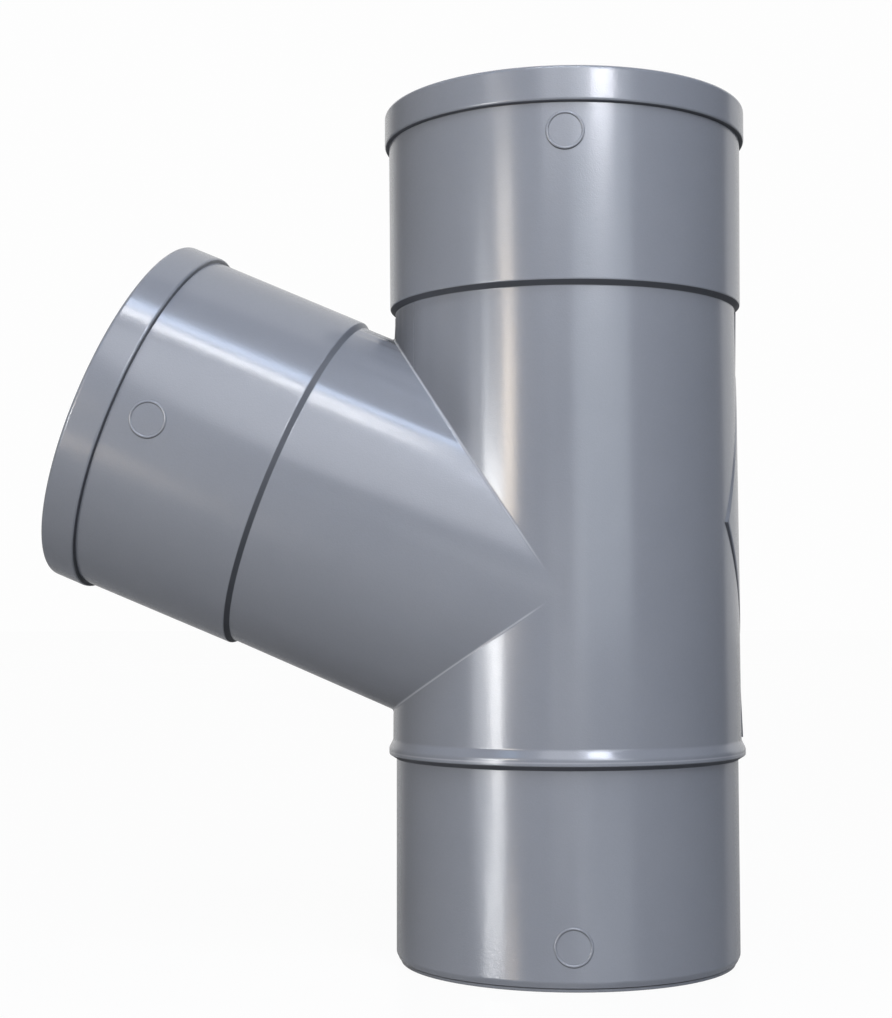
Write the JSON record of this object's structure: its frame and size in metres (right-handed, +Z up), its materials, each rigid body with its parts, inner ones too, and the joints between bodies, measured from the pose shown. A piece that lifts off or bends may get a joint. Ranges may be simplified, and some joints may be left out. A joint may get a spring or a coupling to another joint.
{
  "type": "equal pipe branch fitting",
  "caption": "Equal pipe branch at 67 degrees in grey PVC: a spigot with a stop rib at the foot, and collared solvent-weld sockets on the run and the branch.",
  "frame": {"origin": "centre of the spigot's end face, which the fitting stands on", "axes": "+Z up the run from the spigot to the top socket, the branch leans towards -X in the XZ plane"},
  "size_m": [0.4142, 0.2142, 0.4995],
  "materials": {
    "grey_pvc": "satin moulded PVC"
  },
  "bodies": {
    "root": {"branch_fitting": "grey_pvc"}
  },
  "joints": []
}
